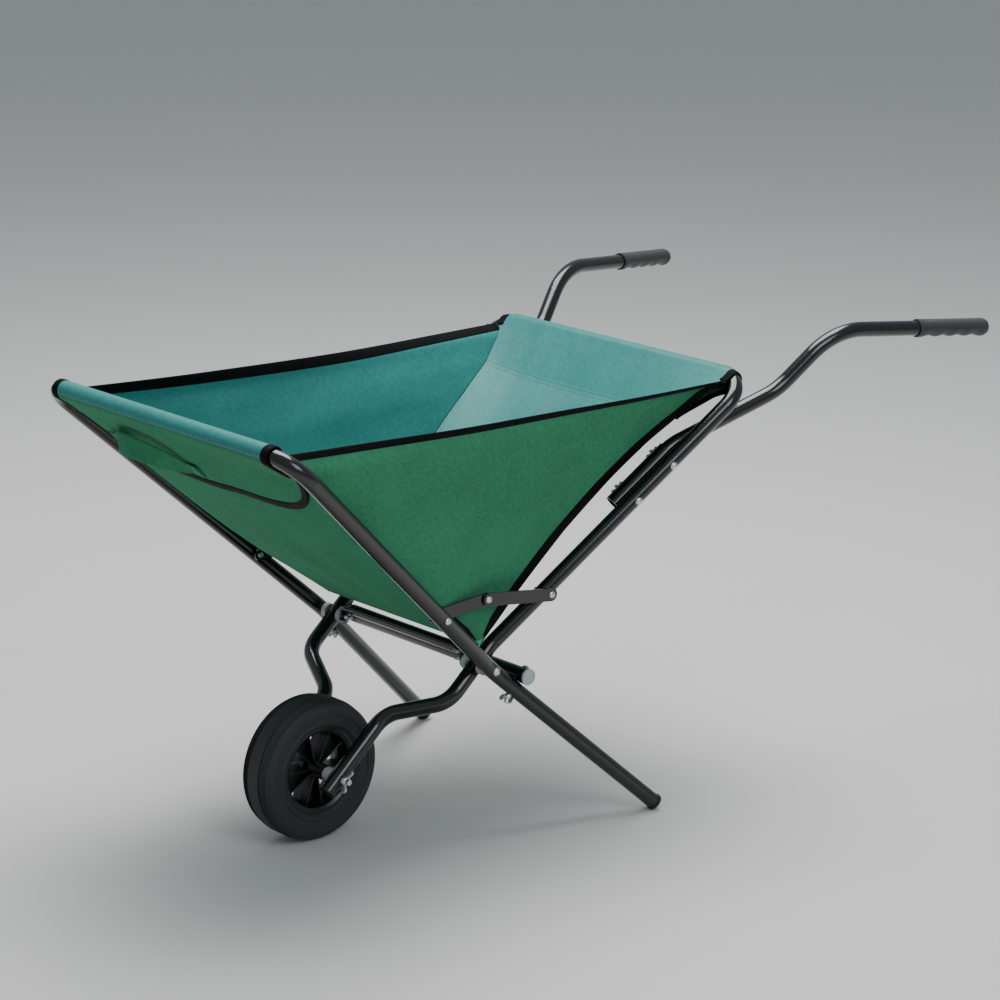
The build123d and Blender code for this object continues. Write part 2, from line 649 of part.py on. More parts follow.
def sleeve(bar, half_len, panel):
    """A sleeve round a bar, joined to its panel."""
    sleeve_r = TUBE_R + SLEEVE_AIR
    with BuildPart() as whole:
        add(panel)
        with BuildSketch(Plane(origin=bar, z_dir=(0, 1, 0))):
            Circle(sleeve_r + SLEEVE_T)
        extrude(amount=half_len, both=True)
        with BuildSketch(Plane(origin=bar, z_dir=(0, 1, 0))):
            Circle(sleeve_r)
        extrude(amount=half_len + 1, both=True, mode=Mode.SUBTRACT)
    return whole.part


front_hang = plane_between(front_bar, bag_fold)
rear_hang = plane_between(rear_bar, bag_fold)
front_drop = (bag_fold - front_bar).length
top = TUBE_R + SLEEVE_AIR + SLEEVE_T / 2
edge_top, edge_half = FRONT_EDGE[0]


def front_edge(down):
    """Half width of the front panel, that far down from its bar."""
    return edge_half + (fold_half - edge_half) * (down - edge_top) / (front_drop - edge_top)


free_top = front_drop - FRONT_FREE
upper = [(top, FRONT_SLEEVE), (edge_top, edge_half), (free_top, front_edge(free_top))]
save_group([sleeve(front_bar, FRONT_SLEEVE, cloth(front_hang, upper))], "front_panel")

free_low = front_drop - FOLD_LIP - AIR
lower = [(free_top + AIR, front_edge(free_top + AIR)), (free_low, front_edge(free_low))]
save_group([cloth(front_hang, lower)], "front_panel_lower")

# The rear panel carries the bottom fold: it turns up a little way into the front. It is lifted
# into the bag along a crease, where the side panels pull it in.
crease_down, crease_half = REAR_EDGE[-1]
crease = rear_hang.from_local_coords(Vector(crease_down, 0, -REAR_CREASE))


upper_plane = plane_between(rear_bar, crease)
lower_plane = plane_between(crease, bag_fold)
stretch = (crease - rear_bar).length / crease_down
upper = [(top, REAR_SLEEVE - 2)] + [(down * stretch, half) for down, half in REAR_EDGE]
lower = [(0, crease_half), ((bag_fold - crease).length + CLOTH_T / 2, fold_half)]
lip = [(front_drop - FOLD_LIP, fold_half), (front_drop + CLOTH_T / 2, fold_half)]
rear_cloth = sleeve(rear_bar, REAR_SLEEVE, cloth(upper_plane, upper))
save_group([rear_cloth, cloth(lower_plane, lower), cloth(front_hang, lip)], "rear_panel")


# Each side panel is two triangles, between the front panel's edge and the rear panel's.
def triangle(corners):
    """A flat three-cornered layer."""
    first = corners[1] - corners[0]
    flat = Plane(origin=corners[0], x_dir=first, z_dir=first.cross(corners[2] - corners[0]))
    with BuildPart() as plate:
        with BuildSketch(flat):
            with BuildLine():
                Polyline(*[flat.to_local_coords(corner) for corner in corners], close=True)
            make_face()
        extrude(amount=CLOTH_T / 2, both=True)
    return plate.part


inside = CLOTH_T / 2 + AIR
for name, side in SIDES.items():
    low = bag_fold + Vector(0, side * (fold_half - CLOTH_T), 2.4 * CLOTH_T)
    fore = front_hang.from_local_coords(Vector(SIDE_DOWN, 0, -inside))
    fore += Y_AXIS * (side * (edge_half - CLOTH_T))
    aft_half = REAR_EDGE[0][1] - CLOTH_T
    aft = upper_plane.from_local_coords(Vector(SIDE_DOWN, 0, -inside)) + Y_AXIS * (side * aft_half)
    middle = crease + lower_plane.z_dir * -(inside + AIR) + Y_AXIS * (side * (crease_half - CLOTH_T))
    save_group([triangle([low, middle, fore]), triangle([middle, aft, fore])], f"side_panel_{name}")

# The carry loop arches off the front panel's outer face.
loop_ends = []
for down, half in (LOOP_LOW, LOOP_HIGH):
    at = front_hang.from_local_coords(Vector(down, 0, 0)) + Y_AXIS * half
    loop_ends.append(at + front_hang.z_dir * (CLOTH_T / 2 + AIR))
chord = loop_ends[1] - loop_ends[0]
loop_span = chord.length
arch = Plane(origin=loop_ends[0], x_dir=chord, z_dir=chord.cross(front_hang.z_dir))
with BuildPart() as loop:
    with BuildSketch(arch):
        with BuildLine():
            ThreePointArc((0, 0), (loop_span / 2, LOOP_OUT), (loop_span, 0))
            Line((loop_span, 0), (loop_span - 2.5 * LOOP_T, 0))
            under = (loop_span / 2, LOOP_OUT - LOOP_T)
            ThreePointArc((loop_span - 2.5 * LOOP_T, 0), under, (2.5 * LOOP_T, 0))
            Line((2.5 * LOOP_T, 0), (0, 0))
        make_face()
    extrude(amount=LOOP_W / 2, both=True)
save(loop, "carry_loop")
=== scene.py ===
"""Folding garden barrow: two crossed tube frames, a coated fabric bag, one small wheel and two handles."""

import json
from math import cos, pi, radians, sin

import bpy
import numpy as np
from mathutils import Euler, Matrix, Vector


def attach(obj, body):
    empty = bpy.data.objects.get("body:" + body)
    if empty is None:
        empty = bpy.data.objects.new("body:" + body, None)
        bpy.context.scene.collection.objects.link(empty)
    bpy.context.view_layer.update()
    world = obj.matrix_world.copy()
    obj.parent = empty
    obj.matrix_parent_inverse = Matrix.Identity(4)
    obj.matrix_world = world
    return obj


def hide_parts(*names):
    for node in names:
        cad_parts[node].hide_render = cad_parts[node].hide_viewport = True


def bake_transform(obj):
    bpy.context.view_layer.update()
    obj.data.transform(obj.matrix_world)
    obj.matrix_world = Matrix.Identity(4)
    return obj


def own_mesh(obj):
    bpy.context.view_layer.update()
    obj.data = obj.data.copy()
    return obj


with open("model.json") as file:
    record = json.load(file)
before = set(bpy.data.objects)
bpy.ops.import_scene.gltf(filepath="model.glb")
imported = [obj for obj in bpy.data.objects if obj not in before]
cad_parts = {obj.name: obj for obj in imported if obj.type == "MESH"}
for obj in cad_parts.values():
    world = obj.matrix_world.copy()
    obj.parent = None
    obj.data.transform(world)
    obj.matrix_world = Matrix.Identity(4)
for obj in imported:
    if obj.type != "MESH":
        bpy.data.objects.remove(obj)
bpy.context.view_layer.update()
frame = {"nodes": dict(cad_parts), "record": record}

# ---- studio: floor, light and camera -----------------------------------------------------------
# A pale matt floor that runs far back, a big soft box overhead and a weaker one from the left,
# as in a catalogue. The camera looks down a little on the wheel end from the left.


def srgb(code):
    """A hex colour such as #1D7250 as the linear values that a shader takes."""
    parts = [int(code[k : k + 2], 16) / 255 for k in (1, 3, 5)]
    return [p / 12.92 if p <= 0.04045 else ((p + 0.055) / 1.055) ** 2.4 for p in parts] + [1.0]


def add_node(tree, kind, links=None, **settings):
    """One node with its settings, and its inputs set to values or joined to other nodes' outputs."""
    made = tree.nodes.new(kind)
    for name, value in settings.items():
        setattr(made, name, value)
    for name, value in (links or {}).items():
        if isinstance(value, bpy.types.NodeSocket):
            tree.links.new(value, made.inputs[name])
        else:
            made.inputs[name].default_value = value
    return made


floor_paint = bpy.data.materials.new("matt_floor_paint")
floor_paint.use_nodes = True
floor_paint.node_tree.nodes["Principled BSDF"].inputs["Base Color"].default_value = srgb("#C9C8C4")
floor_paint.node_tree.nodes["Principled BSDF"].inputs["Roughness"].default_value = 0.9
floor_mesh = bpy.data.meshes.new("studio_floor")
floor_mesh.from_pydata([(-40, -40, 0), (40, -40, 0), (40, 60, 0), (-40, 60, 0)], [], [(0, 1, 2, 3)])
floor_mesh.materials.append(floor_paint)
floor = bpy.data.objects.new("studio_floor", floor_mesh)
bpy.context.scene.collection.objects.link(floor)

sky = bpy.data.worlds.new("studio_air")
sky.use_nodes = True
sky.node_tree.nodes["Background"].inputs["Color"].default_value = srgb("#DDE8F2")
sky.node_tree.nodes["Background"].inputs["Strength"].default_value = 0.5
bpy.context.scene.world = sky

for name, place, aim, size, power in (
    ("soft_box_top", (0.3, 0.5, 3.2), (-0.1, 0, 0.3), 2.2, 150),
    ("soft_box_left", (-0.6, -3.0, 2.4), (0, 0, 0.3), 1.6, 34),
):
    lamp = bpy.data.lights.new(name, "AREA")
    lamp.size = size
    lamp.energy = power
    box = bpy.data.objects.new(name, lamp)
    box.location = place
    box.rotation_euler = (Vector(aim) - Vector(place)).to_track_quat("-Z", "Y").to_euler()
    bpy.context.scene.collection.objects.link(box)

lens = bpy.data.cameras.new("camera")
lens.lens = 116.5
lens.sensor_width = 36.0
camera = bpy.data.objects.new("camera", lens)
looks_down, turned_right, rolled = radians(16.19), radians(42.59), radians(0.357)
camera_at = Matrix.Translation((-3.0021, -3.2329, 1.687))
tilt = Euler((radians(90) - looks_down, 0, -turned_right), "XYZ").to_matrix().to_4x4()
camera.matrix_world = camera_at @ tilt @ Matrix.Rotation(rolled, 4, "Z")
bpy.context.scene.collection.objects.link(camera)
bpy.context.scene.camera = camera

# ---- tube frames, handles, crossbar, spreader and stays ----------------------------------------
# Welded and bent mild steel tube and flat bar, powder coated gloss black after bending. The coat
# is thick enough to round the edges, a little uneven, and dusty where it faces up.

black_coat = bpy.data.materials.new("gloss_black_powder_coat")  # deep black with broad soft highlights
black_coat.use_nodes = True
tree = black_coat.node_tree
skin = tree.nodes["Principled BSDF"]
skin.inputs["IOR"].default_value = 1.5
skin.inputs["Coat Weight"].default_value = 0.35
skin.inputs["Coat Roughness"].default_value = 0.12
where = add_node(tree, "ShaderNodeTexCoord").outputs["Object"]
cloudy = add_node(tree, "ShaderNodeTexNoise", {"Vector": where, "Scale": 22.0, "Detail": 4.0})
surface = add_node(tree, "ShaderNodeNewGeometry").outputs["Normal"]
facing = add_node(tree, "ShaderNodeSeparateXYZ", {"Vector": surface})
upward = add_node(
    tree,
    "ShaderNodeMapRange",
    {"Value": facing.outputs["Z"], "From Min": 0.2, "From Max": 1.0, "To Max": 0.25},
)
dusty = add_node(
    tree,
    "ShaderNodeMath",
    {0: upward.outputs["Result"], 1: cloudy.outputs["Fac"]},
    operation="MULTIPLY",
)
tone = add_node(tree, "ShaderNodeMix", {"Factor": dusty.outputs["Value"]}, data_type="RGBA")
tone.inputs["A"].default_value = srgb("#060607")
tone.inputs["B"].default_value = srgb("#242424")
tree.links.new(tone.outputs["Result"], skin.inputs["Base Color"])
uneven = add_node(
    tree,
    "ShaderNodeMapRange",
    {"Value": cloudy.outputs["Fac"], "To Min": 0.14, "To Max": 0.27},
)
tree.links.new(uneven.outputs["Result"], skin.inputs["Roughness"])
# orange peel about 2.4 mm across
peel = add_node(tree, "ShaderNodeTexNoise", {"Vector": where, "Scale": 420.0, "Detail": 2.0})
swell = add_node(tree, "ShaderNodeBump", {"Height": peel.outputs["Fac"], "Strength": 0.05, "Distance": 0.001})
tree.links.new(swell.outputs["Normal"], skin.inputs["Normal"])


def finish_nodes(material, *names):
    """Give these pieces of the frame a finish."""
    for name in names:
        for place in frame["nodes"][name].material_slots:
            place.material = material


finish_nodes(black_coat, "wheel_frame_tube", "leg_frame_tube", "crossbar", "spreader_bar")
for side in ("left", "right"):
    finish_nodes(black_coat, f"handle_socket_{side}", f"handle_tube_{side}")
    finish_nodes(black_coat, f"stay_front_link_{side}", f"stay_rear_link_{side}")

# ---- feet, fork plugs, crossbar caps and spacers -----------------------------------------------
# Injection moulded polyethylene pieces pushed into or between the tubes: black where they plug a
# tube, light grey for the crossbar's caps and the washers that keep the frames apart.


def moulded(name, colour, rough, grain):
    """Moulded plastic: an even colour, a fine eroded grain and slightly patchy gloss."""
    made = bpy.data.materials.new(name)
    made.use_nodes = True
    tree = made.node_tree
    skin = tree.nodes["Principled BSDF"]
    skin.inputs["IOR"].default_value = 1.51
    where = add_node(tree, "ShaderNodeTexCoord").outputs["Object"]
    patchy = add_node(tree, "ShaderNodeTexNoise", {"Vector": where, "Scale": 60.0, "Detail": 3.0})
    tone = add_node(tree, "ShaderNodeMix", {"Factor": patchy.outputs["Fac"]}, data_type="RGBA")
    tone.inputs["A"].default_value = [c * 0.82 for c in srgb(colour)[:3]] + [1.0]
    tone.inputs["B"].default_value = [min(1.0, c * 1.2) for c in srgb(colour)[:3]] + [1.0]
    tree.links.new(tone.outputs["Result"], skin.inputs["Base Color"])
    gloss = add_node(
        tree,
        "ShaderNodeMapRange",
        {"Value": patchy.outputs["Fac"], "To Min": rough - 0.08, "To Max": rough + 0.1},
    )
    tree.links.new(gloss.outputs["Result"], skin.inputs["Roughness"])
    eroded = add_node(tree, "ShaderNodeTexNoise", {"Vector": where, "Scale": grain, "Detail": 2.0})
    bumps = add_node(
        tree,
        "ShaderNodeBump",
        {"Height": eroded.outputs["Fac"], "Strength": 0.12, "Distance": 0.0006},
    )
    tree.links.new(bumps.outputs["Normal"], skin.inputs["Normal"])
    return made


black_plug = moulded("black_moulded_polyethylene", "#151516", 0.45, 900.0)
grey_cap = moulded("grey_moulded_polyethylene", "#A3AAA8", 0.5, 900.0)
finish_nodes(black_plug, "foot_caps", "fork_plugs")
finish_nodes(grey_cap, "crossbar_caps", "pivot_spacers_outer", "pivot_spacers_inner", "axle_spacers")

# ---- bolts, rivets and washers -----------------------------------------------------------------
# Round-headed steel bolts and rivets with bright zinc plating, which is a bluish silver that
# clouds in handling.

zinc = bpy.data.materials.new("bright_zinc_plated_steel")
zinc.use_nodes = True
tree = zinc.node_tree
skin = tree.nodes["Principled BSDF"]
skin.inputs["Metallic"].default_value = 1.0
where = add_node(tree, "ShaderNodeTexCoord").outputs["Object"]
clouds = add_node(tree, "ShaderNodeTexNoise", {"Vector": where, "Scale": 160.0, "Detail": 4.0})
tone = add_node(tree, "ShaderNodeMix", {"Factor": clouds.outputs["Fac"]}, data_type="RGBA")
tone.inputs["A"].default_value = srgb("#B9BDBC")
tone.inputs["B"].default_value = srgb("#E6E9E4")
tree.links.new(tone.outputs["Result"], skin.inputs["Base Color"])
gloss = add_node(tree, "ShaderNodeMapRange", {"Value": clouds.outputs["Fac"], "To Min": 0.22, "To Max": 0.42})
tree.links.new(gloss.outputs["Result"], skin.inputs["Roughness"])
finish_nodes(zinc, "handle_bolts", "pivot_bolts", "crossbar_bolts", "axle_bolt")
finish_nodes(zinc, "stay_front_rivets", "stay_rear_rivets", "stay_washers")
finish_nodes(zinc, "stay_knee_rivet_left", "stay_knee_rivet_right")

# ---- wing nuts ---------------------------------------------------------------------------------
# Pressed and plated wing nuts: a round boss with two rounded wings. One is made and copied to
# each bolt; the axle's is a size larger.

PIVOT = Vector((-0.20977, 0, 0.246451))
AXLE = Vector((-0.381242, 0, 0.1))
REAR_LEAN, LEG_LEAN = radians(40.5), radians(43.3)  # the two frames' slopes from level
ALONG_REAR = Vector((cos(REAR_LEAN), 0, sin(REAR_LEAN)))
ALONG_LEG = Vector((-cos(LEG_LEAN), 0, sin(LEG_LEAN)))
LEG_NORMAL = Vector((sin(LEG_LEAN), 0, cos(LEG_LEAN)))


def sweep_rings(name, rings, closed_ends=True, material=None):
    """A tube of quads through rings of points, all of one length, with its ends filled."""
    count = len(rings[0])
    points = [tuple(p) for ring in rings for p in ring]
    faces = []
    for i in range(len(rings) - 1):
        for j in range(count):
            a, b = i * count + j, i * count + (j + 1) % count
            faces.append((a, b, b + count, a + count))
    if closed_ends:
        faces.append(tuple(range(count))[::-1])
        faces.append(tuple((len(rings) - 1) * count + j for j in range(count)))
    mesh = bpy.data.meshes.new(name)
    mesh.from_pydata(points, [], faces)
    mesh.polygons.foreach_set("use_smooth", [len(face) == 4 for face in faces])
    made = bpy.data.objects.new(name, mesh)
    bpy.context.scene.collection.objects.link(made)
    if material:
        mesh.materials.append(material)
    return made


def join_meshes(name, pieces):
    """Several objects' meshes as one object."""
    points, faces, slots, mats, smooth = [], [], [], [], []
    for piece in pieces:
        base = len(points)
        points += [tuple(v.co) for v in piece.data.vertices]
        for face in piece.data.polygons:
            faces.append(tuple(base + k for k in face.vertices))
            mat = piece.data.materials[face.material_index]
            if mat not in mats:
                mats.append(mat)
            slots.append(mats.index(mat))
            smooth.append(face.use_smooth)
        bpy.data.objects.remove(piece)
    mesh = bpy.data.meshes.new(name)
    mesh.from_pydata(points, [], faces)
    for mat in mats:
        mesh.materials.append(mat)
    mesh.polygons.foreach_set("material_index", slots)
    mesh.polygons.foreach_set("use_smooth", smooth)
    made = bpy.data.objects.new(name, mesh)
    bpy.context.scene.collection.objects.link(made)
    return made


def one_wing_nut():
    """A wing nut for a 6 mm bolt, seated at the origin with its boss up Z and its wings along X."""
    outline = ((0, 3.3), (0, 5.2), (0.6, 5.8), (4.5, 5.3), (6.8, 4.5), (7.2, 3.3))  # height, radius, mm
    boss = []
    for up, out in ((h / 1000, w / 1000) for h, w in outline):
        boss.append([(out * cos(a), out * sin(a), up) for a in np.linspace(0, 2 * pi, 24, endpoint=False)])
    pieces = [sweep_rings("boss", boss, closed_ends=False, material=zinc)]
    for turn in (-1, 1):
        wing = []
        for s in np.linspace(0, 1, 9):
            middle = Vector((turn * (0.0035 + 0.0088 * s), 0, 0.0036 + 0.0048 * s**1.4))
            tall = 0.0026 + 0.0016 * sin(pi * s) + 0.0012 * s
            tall *= (1 - max(0.0, s - 0.8) ** 2 * 14)
            ring = []
            for a in np.linspace(0, 2 * pi, 14, endpoint=False):
                lean = Vector((turn * -0.35, 0, 0.94))
                ring.append(middle + lean * (tall * cos(a)) + Vector((0, 0.00085 * sin(a), 0)))
            wing.append(ring)
        pieces.append(sweep_rings("wing", wing, material=zinc))
    return join_meshes("wing_nut_pattern", pieces)


def copy_tree(name):
    """Geometry Nodes: one copy of a piece at each point, turned and sized by the point."""
    tree = bpy.data.node_groups.new(name, "GeometryNodeTree")
    tree.interface.new_socket("Points", in_out="INPUT", socket_type="NodeSocketGeometry")
    tree.interface.new_socket("Piece", in_out="INPUT", socket_type="NodeSocketObject")
    tree.interface.new_socket("Finish", in_out="INPUT", socket_type="NodeSocketMaterial")
    tree.interface.new_socket("Geometry", in_out="OUTPUT", socket_type="NodeSocketGeometry")
    given = add_node(tree, "NodeGroupInput")
    piece = add_node(tree, "GeometryNodeObjectInfo", {"Object": given.outputs["Piece"]})
    turn = add_node(tree, "GeometryNodeInputNamedAttribute", {"Name": "turn"}, data_type="FLOAT_VECTOR")
    size = add_node(tree, "GeometryNodeInputNamedAttribute", {"Name": "size"}, data_type="FLOAT_VECTOR")
    copies = add_node(
        tree,
        "GeometryNodeInstanceOnPoints",
        {
            "Points": given.outputs["Points"],
            "Instance": piece.outputs["Geometry"],
            "Rotation": turn.outputs["Attribute"],
            "Scale": size.outputs["Attribute"],
        },
    )
    real = add_node(tree, "GeometryNodeRealizeInstances", {"Geometry": copies.outputs["Instances"]})
    done = add_node(
        tree,
        "GeometryNodeSetMaterial",
        {"Geometry": real.outputs["Geometry"], "Material": given.outputs["Finish"]},
    )
    add_node(tree, "NodeGroupOutput", {"Geometry": done.outputs["Geometry"]})
    return tree


copies_at_points = copy_tree("copies_at_points")


def place_copies(name, piece, finish, spots):
    """Copies of a piece at spots: (place, axis, wing direction, size). The result is a plain mesh."""
    mesh = bpy.data.meshes.new(name)
    mesh.from_pydata([tuple(s[0]) for s in spots], [], [])
    turn = mesh.attributes.new("turn", "FLOAT_VECTOR", "POINT")
    size = mesh.attributes.new("size", "FLOAT_VECTOR", "POINT")
    for k, (_, axis, across, scale) in enumerate(spots):
        z = Vector(axis).normalized()
        x = (Vector(across) - z * Vector(across).dot(z)).normalized()
        angles = Matrix((x, z.cross(x), z)).transposed().to_euler()
        turn.data[k].vector = tuple(angles)
        size.data[k].vector = tuple(scale) if hasattr(scale, "__len__") else (scale,) * 3
    made = bpy.data.objects.new(name, mesh)
    bpy.context.scene.collection.objects.link(made)
    work = made.modifiers.new("copies", "NODES")
    work.node_group = copies_at_points
    for item in copies_at_points.interface.items_tree:
        if item.in_out == "INPUT" and item.name == "Piece":
            work[item.identifier] = piece
        if item.in_out == "INPUT" and item.name == "Finish":
            work[item.identifier] = finish
    bpy.context.view_layer.update()
    solid = bpy.data.meshes.new_from_object(made.evaluated_get(bpy.context.evaluated_depsgraph_get()))
    made.modifiers.clear()
    made.data = solid
    made.data.name = name
    return made


wing_nut = one_wing_nut()
PIVOT_NUT_Y = 0.12680  # where each nut's seat lies, from the middle plane
CROSSBAR_NUT_Y = 0.18585
AXLE_NUT_Y = 0.0711
pivot_spots = [((PIVOT.x, s * PIVOT_NUT_Y, PIVOT.z), (0, -s, 0), (1, 0, 0.25 * s), 1.0) for s in (-1, 1)]
pivot_nuts = place_copies("pivot_wing_nuts_plated", wing_nut, zinc, pivot_spots)
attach(pivot_nuts, "wheel_frame")
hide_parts("pivot_wing_nuts")

bolt_at = PIVOT - ALONG_LEG * 0.0475 - LEG_NORMAL * 0.0111
bar_spots = [((bolt_at.x, s * CROSSBAR_NUT_Y, bolt_at.z), -LEG_NORMAL, (0, 1, 0), 1.0) for s in (-1, 1)]
bar_nuts = place_copies("crossbar_wing_nuts_plated", wing_nut, zinc, bar_spots)
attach(bar_nuts, "leg_frame")
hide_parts("crossbar_wing_nuts")

handle_spots = []
SPREAD = 0.2218  # how fast the wheel frame's side tubes part, above their straight start
STRAIGHT, STRAIGHT_HALF = 0.034, 0.149
HANDLE_BOLTS = (0.312, 0.380)  # up the tube from the pivot
HANDLE_NUT_OFF = 0.0366
for s in (-1, 1):
    beside = (Vector((0, -s, 0)) + ALONG_REAR * SPREAD).normalized()
    for bolt_up in HANDLE_BOLTS:
        half_width = STRAIGHT_HALF + SPREAD * (bolt_up - STRAIGHT)
        middle = PIVOT + ALONG_REAR * bolt_up + Vector((0, s * half_width, 0))
        handle_spots.append((middle + beside * HANDLE_NUT_OFF, beside, ALONG_REAR, 0.85))
handle_nuts = place_copies("handle_wing_nuts_plated", wing_nut, zinc, handle_spots)
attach(handle_nuts, "wheel_frame")
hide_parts("handle_wing_nuts")

axle_spots = [((AXLE.x, -AXLE_NUT_Y, AXLE.z), (0, -1, 0), (0.5, 0, 0.87), 1.3)]
axle_nut = place_copies("axle_wing_nut_plated", wing_nut, zinc, axle_spots)
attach(axle_nut, "wheel_frame")
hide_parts("axle_wing_nut")
bpy.data.objects.remove(wing_nut)

# ---- wheel -------------------------------------------------------------------------------------
# A solid black rubber tyre on a black moulded hub with five windows and raised ribs. The tyre is
# matt, dusty grey-black, with fine mould marks.

rubber = bpy.data.materials.new("moulded_black_rubber")
rubber.use_nodes = True
tree = rubber.node_tree
skin = tree.nodes["Principled BSDF"]
skin.inputs["IOR"].default_value = 1.52
where = add_node(tree, "ShaderNodeTexCoord").outputs["Object"]
dust = add_node(tree, "ShaderNodeTexNoise", {"Vector": where, "Scale": 28.0, "Detail": 6.0})
tone = add_node(tree, "ShaderNodeMix", {"Factor": dust.outputs["Fac"]}, data_type="RGBA")
tone.inputs["A"].default_value = srgb("#161718")
tone.inputs["B"].default_value = srgb("#303234")
tree.links.new(tone.outputs["Result"], skin.inputs["Base Color"])
gloss = add_node(tree, "ShaderNodeMapRange", {"Value": dust.outputs["Fac"], "To Min": 0.58, "To Max": 0.78})
tree.links.new(gloss.outputs["Result"], skin.inputs["Roughness"])
marks = add_node(tree, "ShaderNodeTexNoise", {"Vector": where, "Scale": 520.0, "Detail": 3.0})
bumps = add_node(
    tree,
    "ShaderNodeBump",
    {"Height": marks.outputs["Fac"], "Strength": 0.2, "Distance": 0.0008},
)
tree.links.new(bumps.outputs["Normal"], skin.inputs["Normal"])
finish_nodes(rubber, "tyre")
hub_plastic = moulded("black_moulded_polypropylene", "#101012", 0.38, 700.0)
finish_nodes(hub_plastic, "wheel_hub")

# ---- grips -------------------------------------------------------------------------------------
# Slate grey moulded vinyl grips pushed over the handle tubes: a plain collar, fine ridges on top,
# four finger hollows underneath and a rounded end.

grip_vinyl = moulded("slate_grey_moulded_vinyl", "#2B2F31", 0.5, 1100.0)
GRIP_R, COLLAR_R = 0.0126, 0.0132
GRIP_START, RIDGES_START, RIDGES_END, ROUND_START = -0.063, -0.055, 0.054, 0.058  # along the grip
ROUND_LEN = 0.010
RIDGE_PITCH, RIDGE_H = 0.0042, 0.00042
FINGER_PITCH, FINGER_DEPTH = 0.0272, 0.0019
for side in ("left", "right"):
    mount = next(m for m in frame["record"]["mounts"] if m["name"] == f"grip_{side}")
    middle = Vector(mount["pos_m"])
    tip = Vector(mount["axis"]).normalized()
    across = tip.cross(Vector((0, 0, 1))).normalized()
    upright = across.cross(tip).normalized()
    rings = []
    stations = list(np.linspace(GRIP_START, ROUND_START, 190))
    stations += list(ROUND_START + ROUND_LEN * np.sin(np.linspace(0.05, 1, 14) * pi / 2))
    for x in stations:
        from_start = x - RIDGES_START
        ring = []
        for a in np.linspace(0, 2 * pi, 48, endpoint=False):
            up = cos(a)
            if x < RIDGES_START or x > RIDGES_END:
                out = COLLAR_R
            else:
                ridge = 0.5 + 0.5 * cos(2 * pi * from_start / RIDGE_PITCH)
                hollow = 0.5 - 0.5 * cos(2 * pi * from_start / FINGER_PITCH)
                out = GRIP_R + max(0.0, up + 0.15) ** 0.5 * RIDGE_H * ridge
                out -= max(0.0, -up) ** 0.8 * FINGER_DEPTH * hollow
            if x > ROUND_START:
                out *= max(0.02, (1 - ((x - ROUND_START) / (ROUND_LEN + 0.0001)) ** 2)) ** 0.5
            ring.append(middle + tip * x + upright * (out * cos(a)) + across * (out * sin(a)))
        rings.append(ring)
    grip = sweep_rings(f"vinyl_grip_{side}", rings, material=grip_vinyl)
    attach(grip, "wheel_frame")
    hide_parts(f"grip_{side}")

# ---- fabric bag: panels ------------------------------------------------------------------------
# Green woven polyester with a coated face, cut as a front panel, a rear panel and two triangular
# sides. It hangs from sleeves on the two bars and meets in one fold at the bottom.

FRONT_BAR = PIVOT + ALONG_LEG * 0.558
REAR_BAR = PIVOT + ALONG_REAR * 0.539
FOLD = PIVOT + Vector((-0.003, 0, 0.031))
FRONT_DROP = (FOLD - FRONT_BAR).length
REAR_DROP = (FOLD - REAR_BAR).length
FRONT_DOWN = (FOLD - FRONT_BAR).normalized()
REAR_DOWN = (FOLD - REAR_BAR).normalized()
FRONT_OUT = Vector((FRONT_DOWN.z, 0, -FRONT_DOWN.x))
REAR_OUT = Vector((-REAR_DOWN.z, 0, REAR_DOWN.x))
if FRONT_OUT.z > 0:
    FRONT_OUT = -FRONT_OUT
if REAR_OUT.z > 0:
    REAR_OUT = -REAR_OUT
BAG_MIDDLE = (FRONT_BAR + REAR_BAR) / 2 - Vector((0, 0, 0.08))


